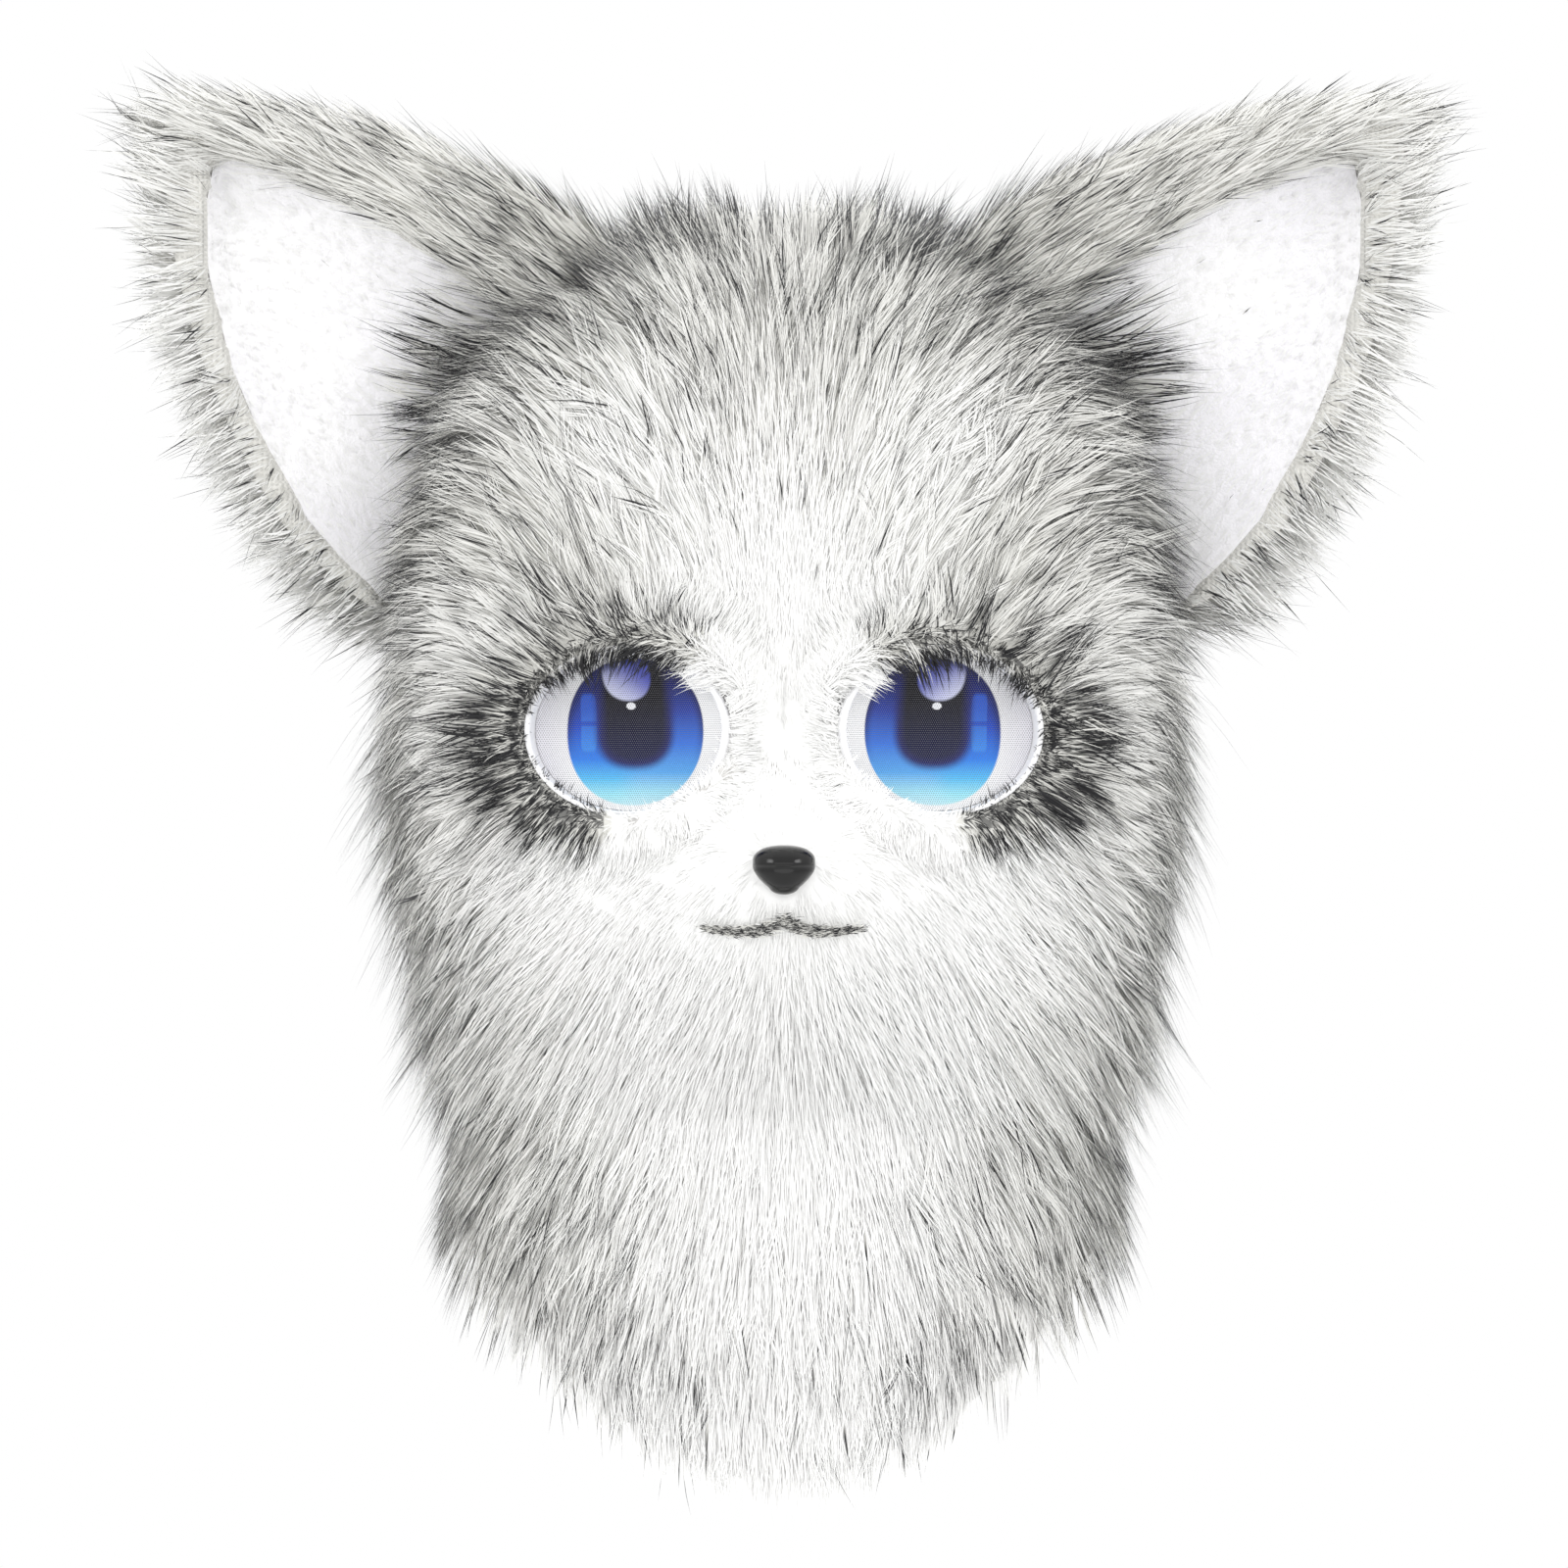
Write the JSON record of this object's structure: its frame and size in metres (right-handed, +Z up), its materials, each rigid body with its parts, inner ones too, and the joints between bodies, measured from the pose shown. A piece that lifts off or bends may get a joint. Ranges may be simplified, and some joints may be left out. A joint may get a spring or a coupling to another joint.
{
  "type": "animal costume head",
  "caption": "Hollow furry animal head worn over the wearer's own: grey and white long-pile coat, big upright ears, recessed mesh eyes, small nose and a hanging bib.",
  "frame": {"origin": "the crown seat: the top of the hollow, where the head rests on the wearer's crown", "axes": "+Z up, the face towards -Y, +X to the wearer's left"},
  "size_m": [0.4682, 0.3262, 0.5168],
  "materials": {
    "foam": "cloth-covered foam padding, light grey",
    "grey_fur": "long-pile faux fur, cream-grey undercoat with charcoal guard-hair tips",
    "white_fur": "white faux fur, short on the face and long on the bib",
    "collar_cloth": "woven backing cloth, light grey",
    "ear_lining": "white short-pile plush over padding",
    "eye_plastic": "smooth white plastic",
    "eye_mesh": "perforated see-through mesh with a printed iris",
    "nose_plastic": "glossy black plastic",
    "mouth_cord": "soft charcoal cord"
  },
  "bodies": {
    "root": {"head_shell": "foam", "crown_fur": "grey_fur", "cheek_fur_left": "grey_fur", "cheek_fur_right": "grey_fur", "back_fur": "grey_fur", "face_fur": "white_fur", "neck_collar": "collar_cloth", "neck_ruff": "grey_fur", "bib_fur": "white_fur", "ear_lining_left": "ear_lining", "ear_lining_right": "ear_lining", "ear_fur_left": "grey_fur", "ear_fur_right": "grey_fur", "eye_rim_left": "eye_plastic", "eye_rim_right": "eye_plastic", "eye_mesh_left": "eye_mesh", "eye_mesh_right": "eye_mesh", "nose": "nose_plastic", "mouth_line": "mouth_cord"}
  },
  "joints": []
}
